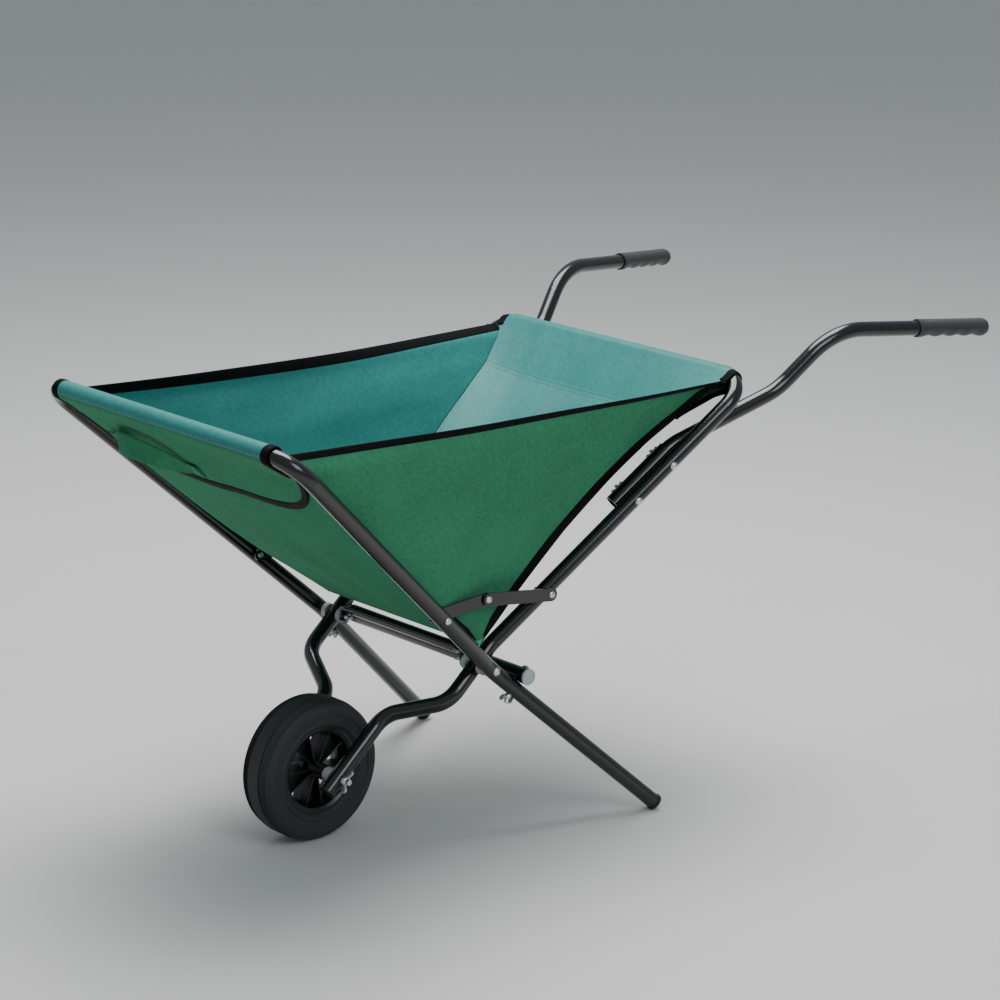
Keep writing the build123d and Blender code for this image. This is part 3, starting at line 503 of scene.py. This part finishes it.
def coated_cloth(name, colour, pale, gauge, shine, rough):
    """Coated woven polyester: plain weave showing through the coat, soft sheen, faint handling marks."""
    made = bpy.data.materials.new(name)
    made.use_nodes = True
    tree = made.node_tree
    skin = tree.nodes["Principled BSDF"]
    skin.inputs["IOR"].default_value = 1.5
    skin.inputs["Specular IOR Level"].default_value = shine
    skin.inputs["Sheen Weight"].default_value = 0.3 * shine
    skin.inputs["Sheen Roughness"].default_value = 0.4
    skin.inputs["Sheen Tint"].default_value = srgb(pale)
    yarn = add_node(tree, "ShaderNodeTexCoord").outputs["UV"]
    whole = add_node(tree, "ShaderNodeTexCoord").outputs["Object"]
    # threads every gauge metres, drawn coarser than the real 0.5 mm so that the weave shows
    thread_wave = {"Vector": yarn, "Scale": 0.3142 / gauge, "Distortion": 0.4}
    warp = add_node(tree, "ShaderNodeTexWave", thread_wave, bands_direction="X")
    weft = add_node(tree, "ShaderNodeTexWave", thread_wave, bands_direction="Y")
    weave = add_node(
        tree,
        "ShaderNodeMath",
        {0: warp.outputs["Fac"], 1: weft.outputs["Fac"]},
        operation="MULTIPLY",
    )
    handled = add_node(
        tree,
        "ShaderNodeTexNoise",
        {"Vector": whole, "Scale": 9.0, "Detail": 5.0, "Roughness": 0.6},
    )
    slub = add_node(tree, "ShaderNodeTexNoise", {"Vector": yarn, "Scale": 140.0, "Detail": 3.0})
    mixed = add_node(
        tree,
        "ShaderNodeMath",
        {0: handled.outputs["Fac"], 1: slub.outputs["Fac"]},
        operation="ADD",
    )
    shade = add_node(
        tree,
        "ShaderNodeMapRange",
        {"Value": mixed.outputs["Value"], "From Min": 0.7, "From Max": 1.3},
    )
    tone = add_node(tree, "ShaderNodeMix", {"Factor": shade.outputs["Result"]}, data_type="RGBA")
    tone.inputs["A"].default_value = [c * 0.8 for c in srgb(colour)[:3]] + [1.0]
    tone.inputs["B"].default_value = [min(1.0, c * 1.15) for c in srgb(colour)[:3]] + [1.0]
    tree.links.new(tone.outputs["Result"], skin.inputs["Base Color"])
    gloss = add_node(
        tree,
        "ShaderNodeMapRange",
        {"Value": handled.outputs["Fac"], "To Min": rough, "To Max": rough + 0.16},
    )
    tree.links.new(gloss.outputs["Result"], skin.inputs["Roughness"])
    threads = add_node(
        tree,
        "ShaderNodeBump",
        {"Height": weave.outputs["Value"], "Strength": 0.16, "Distance": 0.0006},
    )
    creases = add_node(tree, "ShaderNodeTexNoise", {"Vector": whole, "Scale": 26.0, "Detail": 3.0})
    over_threads = {"Height": creases.outputs["Fac"], "Normal": threads.outputs["Normal"]}
    soft = add_node(tree, "ShaderNodeBump", {"Strength": 0.25, "Distance": 0.002, **over_threads})
    tree.links.new(soft.outputs["Normal"], skin.inputs["Normal"])
    return made


green_cloth = coated_cloth("green_woven_polyester", "#397F5E", "#8CC8CF", 0.0016, 0.03, 0.66)
# the inner face is coated and glossier than the outer, and its teal colour is painted sky reflection on the
# same green cloth
coating_with_painted_sky_tint = coated_cloth("green_coated_polyester_inner_face_painted_sky_tint", "#257A75", "#9AD6DC", 0.0016, 0.40, 0.38)
black_tape = coated_cloth("black_polyester_binding_tape", "#0C0C0E", "#3C3C44", 0.0016, 0.08, 0.62)


def cloth_sheet(name, place, us, vs, thick=0.0014, painted_shade_rows=0):
    """A closed thin sheet about place(u, v), with UVs in metres so that the weave keeps its size."""
    middle = np.array([[tuple(place(u, v)) for v in vs] for u in us])
    normal = np.cross(np.gradient(middle, axis=0), np.gradient(middle, axis=1))
    normal /= np.linalg.norm(normal, axis=2, keepdims=True)
    nu, nv = len(us), len(vs)
    half = nu * nv
    two_faces = [(middle + normal * thick / 2).reshape(-1, 3), (middle - normal * thick / 2).reshape(-1, 3)]
    points = np.concatenate(two_faces)
    faces = []
    for i in range(nu - 1):
        for j in range(nv - 1):
            at = i * nv + j
            faces.append((at, at + nv, at + nv + 1, at + 1))
            faces.append((half + at, half + at + 1, half + at + nv + 1, half + at + nv))
    broad = len(faces)
    border = [j for j in range(nv)] + [i * nv + nv - 1 for i in range(1, nu)]
    border += [(nu - 1) * nv + j for j in range(nv - 2, -1, -1)] + [i * nv for i in range(nu - 2, 0, -1)]
    for here, there in zip(border, border[1:] + border[:1]):
        faces.append((here, there, half + there, half + here))
    mesh = bpy.data.meshes.new(name)
    mesh.from_pydata(points.tolist(), [], faces)
    mesh.materials.append(green_cloth)
    mesh.materials.append(coating_with_painted_sky_tint)
    # the coated face goes inside the bag and over the tops of the sleeves, the bare weave outside it; its
    # teal is painted sky reflection, and the flap's and sleeve's downward faces take the bare weave's darker
    # green as painted shade
    inner = 1 if (normal * (np.array(BAG_MIDDLE) - middle)).sum() > 0 else -1
    coating_not_painted_shade = []
    for k in range(broad):
        i, j = divmod(k // 2, nv - 1)
        turned = 1 if k % 2 == 0 else -1
        # painted shade: over the bar, faces that point down get the darker bare weave instead of the coating
        shaded = i < painted_shade_rows and turned * normal[i, j, 2] < -0.25
        coating_not_painted_shade.append(int(turned == inner and not shaded))
    mesh.polygons.foreach_set("material_index", coating_not_painted_shade + [0] * (len(faces) - broad))
    mesh.polygons.foreach_set("use_smooth", [k < broad for k in range(len(faces))])
    down = np.zeros((nu, nv))
    side = np.zeros((nu, nv))
    down[1:] = np.cumsum(np.linalg.norm(np.diff(middle, axis=0), axis=2), axis=0)
    side[:, 1:] = np.cumsum(np.linalg.norm(np.diff(middle, axis=1), axis=2), axis=1)
    side -= side[:, nv // 2][:, None]
    layer = mesh.uv_layers.new(name="cloth")
    for corner in mesh.loops:
        i, j = divmod(corner.vertex_index % half, nv)
        layer.data[corner.index].uv = (side[i, j], down[i, j])
    flat_normal = normal.reshape(-1, 3)
    rests = np.zeros((len(mesh.loops), 3))
    for face in mesh.polygons[:broad]:
        for k in face.loop_indices:
            at = mesh.loops[k].vertex_index
            rests[k] = flat_normal[at] if at < half else -flat_normal[at - half]
    mesh.normals_split_custom_set(rests.tolist())
    made = bpy.data.objects.new(name, mesh)
    bpy.context.scene.collection.objects.link(made)
    return made


WRAP = 0.0124  # bar to the middle of the cloth round it
FRONT_APEX = 0.052  # below the bar, where the two layers round it come together
REAR_APEX = 0.088
FRONT_CORNER = (0.213, 0.042)  # each bar's straight half length, and the radius of its bend
REAR_CORNER = (0.2115, 0.040)


def front_half(s):
    """Half width of the front panel, s below its bar."""
    stops = [0.0, 0.014, 0.045, 0.30, 0.45, FRONT_DROP]
    return float(np.interp(s, stops, [0.226, 0.226, 0.2365, 0.204, 0.180, 0.160]))


def rear_half(s):
    """Half width of the rear panel, s below its bar."""
    stops = [0.0, 0.014, 0.035, 0.09, 0.15, 0.23, 0.323, 0.43, REAR_DROP]
    return float(np.interp(s, stops, [0.237, 0.235, 0.219, 0.201, 0.189, 0.178, 0.168, 0.162, 0.160]))


def corner_drop(y, straight, bend):
    """How far a bar's axis falls away where it turns into its corner."""
    past = max(0.0, abs(y) - straight)
    return bend - (bend * bend - past * past) ** 0.5


def front_at(s, t, out=0.0):
    """The front panel: s down from its bar, t across. It bellies outwards, most of all low down."""
    low = min(1.0, s / FRONT_DROP)
    belly = 0.010 * sin(pi * low) + 0.016 * sin(pi * low**1.4) * max(0.0, 1 - t * t) ** 0.7
    ripple = 0.0012 * sin(9 * t + 2 * low) * sin(pi * low) ** 2
    ripple += 0.0026 * sin(15 * t + 5 * low) * low**3 * (1 - low) * 4 * max(0.0, 1 - t * t) ** 0.5
    near_bar = max(0.0, 1 - s / FRONT_APEX)
    y = t * front_half(s)
    point = FRONT_BAR + FRONT_DOWN * s + Vector((0, y, 0))
    point -= ALONG_LEG * (corner_drop(y, *FRONT_CORNER) * near_bar)
    return point + FRONT_OUT * (belly + ripple + out - WRAP * near_bar)


def rear_at(s, t, out=0.0):
    """The rear panel: the side seams lift it into the bag, and it sags back between them."""
    low = min(1.0, s / REAR_DROP)
    lift = 0.020 * sin(pi * min(1.0, s / 0.46 if s < 0.23 else 0.5 + (s - 0.23) / (REAR_DROP - 0.23) * 0.5))
    belly = 0.026 * sin(pi * low) * max(0.0, 1 - t * t) ** 0.8
    ripple = 0.0014 * sin(11 * t + 1.3) * sin(pi * low) ** 2
    ripple += 0.0003 * sin(34 * t + 4 * low + 3 * sin(2.3 * t)) * max(0.0, 1 - s / 0.2) * min(1.0, s / 0.02)
    near_bar = max(0.0, 1 - s / REAR_APEX)
    y = t * rear_half(s)
    point = REAR_BAR + REAR_DOWN * s + Vector((0, y, 0))
    point -= ALONG_REAR * (corner_drop(y, *REAR_CORNER) * near_bar)
    return point + REAR_OUT * (belly + ripple + out - lift - WRAP * near_bar)


def front_hem(t):
    """Length of the front flap below its bar: straight, and turned up at both ends."""
    return 0.050 + 0.092 * (1 - abs(t) ** 7)


def rear_hem(t):
    """Length of the rear flap below its bar, nearly straight across."""
    return 0.096 + 0.004 * (1 - t * t)


def wrapped(face, half, bar, down, outward, tube_down, corner, apex, hem):
    """A panel with the flap that comes back over its bar: rows are (flap, 0 to 1 up from the bar's
    tangent to the hem), (arc, 0 to 1 over the bar) and (inner, distance below the bar)."""
    beta = float(np.arcsin(WRAP / apex))

    def place(row, t):
        part, q = row
        if part == "inner":
            return face(q, t)
        if part == "arc":
            y = t * half(0.0)
            turn = pi / 2 - beta + q * (pi + 2 * beta)
            centre = bar + Vector((0, y, 0)) + tube_down * corner_drop(y, *corner)
            return centre + down * (WRAP * cos(turn)) + outward * (WRAP * sin(turn))
        s = WRAP * sin(beta) + q * (hem(t) - WRAP * sin(beta))
        loose = 0.0024 * min(1.0, s / apex) + 0.003 * sin(pi * q) * (1 - t * t)
        return face(s, t, 2 * WRAP * max(0.0, 1 - s / apex) + loose)

    return place


front_wrap = wrapped(
    front_at, front_half, FRONT_BAR, FRONT_DOWN, FRONT_OUT, -ALONG_LEG, FRONT_CORNER, FRONT_APEX, front_hem
)
rear_wrap = wrapped(
    rear_at, rear_half, REAR_BAR, REAR_DOWN, REAR_OUT, -ALONG_REAR, REAR_CORNER, REAR_APEX, rear_hem
)
over_bar = [("flap", q) for q in np.linspace(1, 0.02, 14)] + [("arc", q) for q in np.linspace(0, 1, 18)]
across_list = list(np.linspace(-1, 1, 61))
front_rows = over_bar + [("inner", s) for s in np.linspace(0.006, FRONT_DROP, 64)]
rear_rows = over_bar + [("inner", s) for s in np.linspace(0.006, REAR_DROP, 64)]
front_sheet = cloth_sheet("front_panel_cloth", front_wrap, front_rows, across_list, painted_shade_rows=len(over_bar))
rear_sheet = cloth_sheet("rear_panel_cloth", rear_wrap, rear_rows, across_list, painted_shade_rows=len(over_bar))

# ---- fabric bag: sides -------------------------------------------------------------------------
# Two triangular panels of the same cloth, sewn to the front and rear panels' edges. Each is made
# in two halves that meet on the line where the cloth creases when the barrow folds.

SIDE_TOP = 0.015


def side_at(side, u, v, out=0.0):
    """A side panel: u from the front seam to the rear seam, v from the bottom fold to the top edge."""
    fore = front_at(FRONT_DROP - v * (FRONT_DROP - SIDE_TOP), side) - FRONT_OUT * 0.0012
    aft = rear_at(REAR_DROP - v * (REAR_DROP - SIDE_TOP), side) - REAR_OUT * 0.0012
    span = sin(pi * u)
    droop = 0.008 * span * v**3
    pull = 0.012 * span * v * (1 - 0.5 * v)
    pull += 0.0016 * span * v * sin(13 * u + 6 * v) + 0.001 * span * v * sin(23 * v - 5 * u)
    return fore.lerp(aft, u) + Vector((0, side * (out - pull - 0.0015), -droop))


def crease_at(v):
    """Where the side's two halves meet: half way across, and low down at the front seam."""
    rise = min(1.0, max(0.0, (v - 0.25) / 0.25))
    return 0.5 * rise * rise * (3 - 2 * rise)


side_sheets = {}
for name, side in (("left", -1), ("right", 1)):
    side_sheets[name, "front"] = cloth_sheet(
        f"side_{name}_front_cloth",
        lambda p, v, side=side: side_at(side, p * crease_at(v), v),
        list(np.linspace(0, 1, 36)),
        list(np.linspace(0.27, 1, 44)),
    )
    side_sheets[name, "rear"] = cloth_sheet(
        f"side_{name}_rear_cloth",
        lambda p, v, side=side: side_at(side, crease_at(v) + p * (1 - crease_at(v)), v),
        list(np.linspace(0, 1, 40)),
        [0.02 + 0.25 * q for q in np.linspace(0, 1, 14)] + list(np.linspace(0.27, 1, 44))[1:],
    )

# ---- fabric bag: black binding tape ------------------------------------------------------------
# Woven polyester tape folded over every cut edge and stitched: along the tops of the sides, down
# the side seams, along the flap hems and round the open ends of the sleeves.


def tape(name, line, wide, thick=0.0030, outer=1.0):
    """A tape along a line of (point, direction across, normal, share of its width).

    outer is how far its outer leg covers the cloth, where it was folded over off its middle.
    """
    rings = []
    for point, across, normal, share in line:
        ring = []
        outward = -1 if normal.dot(BAG_MIDDLE - point) > 0 else 1
        for a in np.linspace(0, 2 * pi, 16, endpoint=False):
            x = (abs(cos(a)) ** 0.5) * (1 if cos(a) > 0 else -1) * wide * share / 2
            z = (abs(sin(a)) ** 0.7) * (1 if sin(a) > 0 else -1) * thick / 2
            if x > 0 and z * outward > 0:
                x *= outer
            ring.append(point + across * x + normal * z)
        rings.append(ring)
    made = sweep_rings(name, rings, material=black_tape)
    layer = made.data.uv_layers.new(name="cloth")
    for corner in made.data.loops:
        i, j = divmod(corner.vertex_index, 16)
        layer.data[corner.index].uv = (i * 0.006, j * 0.0022)
    return made


def edge_line(place, params, inset, step=0.02, share=None):
    """A tape's line along a surface's edge. place(q, d) is the surface, d inside the edge at q."""
    points = [place(q, inset) for q in params]
    line = []
    for k, q in enumerate(params):
        along = (points[min(k + 1, len(points) - 1)] - points[max(k - 1, 0)]).normalized()
        across = place(q, inset + step) - points[k]
        across = (across - along * across.dot(along)).normalized()
        line.append((points[k], across, along.cross(across).normalized(), share(q) if share else 1.0))
    return line


def narrow(v):
    """The seam tapes narrow to fit between the seams at the bottom of a side."""
    return min(1.0, v / 0.09)


bindings = {}
down_seam = list(np.linspace(0.03, 0.997, 70))
for name, side in (("left", -1), ("right", 1)):
    for half, start, end in (("front", 0.0, 0.5), ("rear", 0.5, 1.0)):
        line = edge_line(
            lambda u, d, side=side: side_at(side, u, 1.0 - d / 0.5),
            list(np.linspace(start, end, 40)),
            0.0065,
            0.008,
        )
        bindings[name, half] = [tape(f"top_binding_{name}_{half}", line, 0.016, outer=0.12)]
    line = edge_line(
        lambda v, d, side=side: side_at(
            side, 1.0 - d * narrow(v) / (0.72 * v), v, 0.0013 + 0.02 * max(0.0, v - 0.9)
        ),
        down_seam, 0.008, share=narrow
    )
    bindings[name, "rear"].append(tape(f"rear_seam_binding_{name}", line, 0.017))
    for half, part, start, end in (("rear", "lower", 0.03, 0.27), ("front", "upper", 0.27, 0.997)):
        line = edge_line(
            lambda v, d, side=side: side_at(side, d * narrow(v) / (0.72 * v), v),
            list(np.linspace(start, end, 40)),
            0.004,
            share=narrow,
        )
        bindings[name, half].append(tape(f"front_seam_{part}_binding_{name}", line, 0.008))

hem_ts = list(np.linspace(-1, 1, 90))


def hem_share(t):
    """The hem tape is drawn in where it runs up to the seams."""
    return 1 - 0.42 * min(1.0, max(0.0, (abs(t) - 0.62) / 0.25))


line = edge_line(lambda t, d: front_wrap(("flap", 1 - d / 0.13), t), hem_ts, 0.007, share=hem_share)
front_hem_tape = tape("front_hem_binding", line, 0.018, 0.0040)
line = edge_line(lambda t, d: rear_wrap(("flap", 1 - d / 0.09), t), hem_ts, 0.005)
rear_hem_tape = tape("rear_hem_binding", line, 0.015, 0.0032)


def mouth(name, wrap, rows, wide):
    """The bound open ends of a sleeve."""
    ends = []
    for side in (-1, 1):
        line = edge_line(lambda row, d, side=side: wrap(row, side * (1 - d / 0.23)), rows, 0.005)
        ends.append(tape(name, line, wide, 0.0034))
    return join_meshes(name, ends)


round_bar = [("arc", q) for q in np.linspace(0, 1, 26)]
front_mouth = [("flap", q) for q in np.linspace(0.55, 0.05, 10)] + round_bar
front_mouth += [("inner", s) for s in (0.008, 0.012, 0.016)]
rear_mouth = [("flap", q) for q in np.linspace(1.0, 0.05, 16)] + round_bar
rear_mouth += [("inner", s) for s in (0.008, 0.012, 0.018)]
sleeve_ends_front = mouth("front_sleeve_end_binding", front_wrap, front_mouth, 0.014)
sleeve_ends_rear = mouth("rear_sleeve_end_binding", rear_wrap, rear_mouth, 0.013)

# ---- carry loop --------------------------------------------------------------------------------
# A strap of the same green cloth folded to three layers and stitched down at both ends. It arches
# up and off the front flap, and its middle has rolled over, so that its face is turned up.

loop_low = front_at(0.104, 0.010 / front_half(0.104), 0.0075)
loop_high = front_at(0.084, 0.180 / front_half(0.084), 0.0075)
run = loop_high - loop_low
along = run.normalized()
flat_end = 0.018


def loop_rise(inner):
    return 0.040 * sin(pi * min(1.0, max(0.0, inner))) ** 0.75


LOOP_HALF, LOOP_THICK_HALF = 0.0150, 0.0015  # half its width, half its three layers
up_panel = along.cross(FRONT_OUT).normalized()
rings = []
for q in np.linspace(0, 1, 70):
    inner = (q * run.length - flat_end) / (run.length - 2 * flat_end)
    roll = 0.95 * sin(pi * min(1.0, max(0.0, inner))) ** 0.8
    off = FRONT_OUT * 0.42 + up_panel * 1.25
    across = up_panel * cos(roll) - FRONT_OUT * sin(roll)
    climb = loop_rise(inner + 0.01) - loop_rise(inner - 0.01)
    lean = (along * 0.02 * run.length + off * climb).normalized()
    normal = across.cross(lean).normalized()
    centre = loop_low + run * q + off * loop_rise(inner)
    ring = []
    for a in np.linspace(0, 2 * pi, 20, endpoint=False):
        x = (abs(cos(a)) ** 0.4) * (1 if cos(a) > 0 else -1) * LOOP_HALF
        z = (abs(sin(a)) ** 0.7) * (1 if sin(a) > 0 else -1) * LOOP_THICK_HALF
        ring.append(centre + across * x + normal * z)
    rings.append(ring)
loop_strap = sweep_rings("carry_loop_strap", rings, material=green_cloth)
layer = loop_strap.data.uv_layers.new(name="cloth")
for corner in loop_strap.data.loops:
    i, j = divmod(corner.vertex_index, 20)
    layer.data[corner.index].uv = (i * 0.0027, j * 0.0030)

# ---- stitching ---------------------------------------------------------------------------------
# Lock stitch in pale green thread along the sleeves and across the carry loop's ends: short bars
# of thread that dip into the cloth, drawn at 3.4 mm, coarser than real so that they show.

thread = bpy.data.materials.new("bonded_polyester_thread")
thread.use_nodes = True
tree = thread.node_tree
skin = tree.nodes["Principled BSDF"]
skin.inputs["Roughness"].default_value = 0.55
where = add_node(tree, "ShaderNodeTexCoord").outputs["Object"]
twist_mark = add_node(tree, "ShaderNodeTexNoise", {"Vector": where, "Scale": 900.0})
tone = add_node(tree, "ShaderNodeMix", {"Factor": twist_mark.outputs["Fac"]}, data_type="RGBA")
tone.inputs["A"].default_value = srgb("#2F8A74")
tone.inputs["B"].default_value = srgb("#7DB8AC")
tree.links.new(tone.outputs["Result"], skin.inputs["Base Color"])


def stitch_tree():
    """Geometry Nodes: stitches of one length and pitch along a line of thread."""
    tree = bpy.data.node_groups.new("lock_stitch", "GeometryNodeTree")
    tree.interface.new_socket("Line", in_out="INPUT", socket_type="NodeSocketGeometry")
    for name, value in (("Pitch", 0.0045), ("Stitch Length", 0.0034), ("Thread Radius", 0.00055)):
        tree.interface.new_socket(name, in_out="INPUT", socket_type="NodeSocketFloat").default_value = value
    tree.interface.new_socket("Finish", in_out="INPUT", socket_type="NodeSocketMaterial")
    tree.interface.new_socket("Geometry", in_out="OUTPUT", socket_type="NodeSocketGeometry")
    given = add_node(tree, "NodeGroupInput")
    line = add_node(tree, "GeometryNodeMeshToCurve", {"Mesh": given.outputs["Line"]})
    points = add_node(
        tree,
        "GeometryNodeCurveToPoints",
        {"Curve": line.outputs["Curve"], "Length": given.outputs["Pitch"]},
        mode="LENGTH",
    )
    bar = add_node(tree, "GeometryNodeMeshUVSphere", {"Segments": 6, "Rings": 5, "Radius": 1.0})
    half = add_node(tree, "ShaderNodeMath", {0: given.outputs["Stitch Length"], 1: 0.5}, operation="MULTIPLY")
    radius = given.outputs["Thread Radius"]
    shape = add_node(tree, "ShaderNodeCombineXYZ", {"X": radius, "Y": radius, "Z": half.outputs["Value"]})
    copies = add_node(
        tree,
        "GeometryNodeInstanceOnPoints",
        {
            "Points": points.outputs["Points"],
            "Instance": bar.outputs["Mesh"],
            "Rotation": points.outputs["Rotation"],
            "Scale": shape.outputs["Vector"],
        },
    )
    real = add_node(tree, "GeometryNodeRealizeInstances", {"Geometry": copies.outputs["Instances"]})
    done = add_node(
        tree,
        "GeometryNodeSetMaterial",
        {"Geometry": real.outputs["Geometry"], "Material": given.outputs["Finish"]},
    )
    add_node(tree, "NodeGroupOutput", {"Geometry": done.outputs["Geometry"]})
    return tree


lock_stitch = stitch_tree()


def stitches(name, lines, finish=thread):
    """Stitches along several lines of points, as one plain mesh."""
    points, edges = [], []
    for line in lines:
        base = len(points)
        points += [tuple(p) for p in line]
        edges += [(base + k, base + k + 1) for k in range(len(line) - 1)]
    mesh = bpy.data.meshes.new(name)
    mesh.from_pydata(points, edges, [])
    made = bpy.data.objects.new(name, mesh)
    bpy.context.scene.collection.objects.link(made)
    work = made.modifiers.new("stitches", "NODES")
    work.node_group = lock_stitch
    for item in lock_stitch.interface.items_tree:
        if item.in_out == "INPUT" and item.name == "Finish":
            work[item.identifier] = finish
    bpy.context.view_layer.update()
    solid = bpy.data.meshes.new_from_object(made.evaluated_get(bpy.context.evaluated_depsgraph_get()))
    made.modifiers.clear()
    made.data = solid
    made.data.name = name
    return made


seam_ts = np.linspace(-0.97, 0.97, 90)
lines = [[front_at(s, t) - FRONT_OUT * 0.0009 for t in seam_ts] for s in (0.056, 0.132)]
front_stitches = stitches("front_sleeve_stitching", lines)
lines = [[rear_at(s, t) - REAR_OUT * 0.0009 for t in seam_ts] for s in (0.085, 0.092)]
rear_stitches = stitches("rear_sleeve_stitching", lines)
lines = []
for q in (0.02, 0.085, 0.915, 0.98):
    centre = loop_low + run * q + FRONT_OUT * 0.0017
    lines.append([centre + up_panel * w for w in np.linspace(-0.0125, 0.0125, 12)])
loop_stitches = stitches("carry_loop_stitching", lines)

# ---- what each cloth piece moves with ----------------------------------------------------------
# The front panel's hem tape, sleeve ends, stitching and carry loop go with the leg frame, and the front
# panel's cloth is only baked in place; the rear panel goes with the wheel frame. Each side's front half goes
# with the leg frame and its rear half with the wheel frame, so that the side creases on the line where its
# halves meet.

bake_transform(front_sheet)
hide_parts("front_panel", "front_panel_lower")
for piece in (front_hem_tape, sleeve_ends_front, front_stitches, loop_strap, loop_stitches):
    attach(piece, "leg_frame")
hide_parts("carry_loop")

for piece in (rear_sheet, rear_hem_tape, sleeve_ends_rear, rear_stitches):
    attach(piece, "wheel_frame")
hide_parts("rear_panel")

for name in ("left", "right"):
    for half, body, axis, seam, flat, area in (
        ("front", "leg_frame", FRONT_OUT, front_sheet.name, (0.387, 0.385), 0.058),
        ("rear", "wheel_frame", REAR_OUT, rear_sheet.name, (0.387, 0.504), 0.074),
    ):
        cloth = side_sheets[name, half]
        for piece in [cloth] + bindings[name, half]:
            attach(piece, body)
            tuple(axis)
            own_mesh(piece)
    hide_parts(f"side_panel_{name}")
